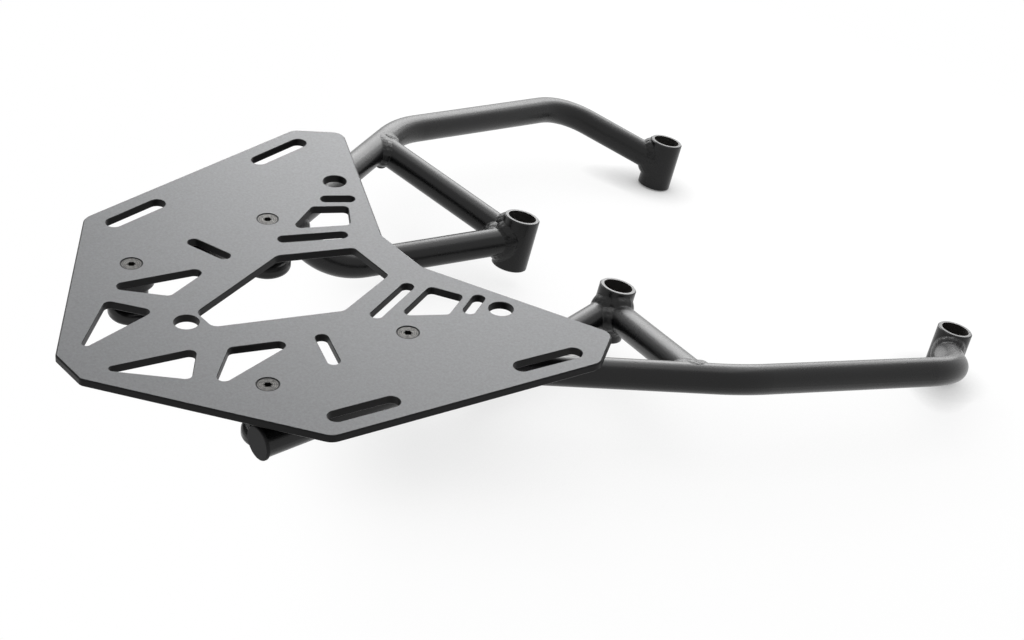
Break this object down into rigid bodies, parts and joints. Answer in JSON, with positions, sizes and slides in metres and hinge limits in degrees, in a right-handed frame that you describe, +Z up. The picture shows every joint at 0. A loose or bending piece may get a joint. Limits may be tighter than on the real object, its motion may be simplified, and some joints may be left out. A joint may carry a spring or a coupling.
{
  "type": "top case rack",
  "caption": "Bent-tube rear rack with a slotted plate that carries a top case, and open bushes that bolt it to a motorbike.",
  "frame": {"origin": "on the floor that the rack stands on, under the middle of its box", "axes": "+Z up from the floor, +Y along the rack towards the outer bushes, X across it, with the plate's wide wings one to each side"},
  "size_m": [0.4894, 0.7112, 0.089],
  "materials": {
    "plate_coat": "satin grey powder coat on cut plate",
    "frame_coat": "satin black powder coat on steel tube",
    "screw_steel": "blackened steel, worn satin",
    "plug_plastic": "moulded polyethylene"
  },
  "bodies": {
    "root": {"brace_tube_left": "frame_coat", "brace_tube_right": "frame_coat", "front_standoff_left": "frame_coat", "front_standoff_right": "frame_coat", "inner_bush_left": "frame_coat", "inner_bush_right": "frame_coat", "inner_tube_left": "frame_coat", "inner_tube_right": "frame_coat", "main_tube_left": "frame_coat", "main_tube_right": "frame_coat", "outer_bush_left": "frame_coat", "outer_bush_right": "frame_coat", "peg_left": "frame_coat", "peg_right": "frame_coat", "plate_screws": "screw_steel", "rear_standoff_left": "frame_coat", "rear_standoff_right": "frame_coat", "top_plate": "plate_coat", "tube_plug_left": "plug_plastic", "tube_plug_right": "plug_plastic"}
  },
  "joints": []
}
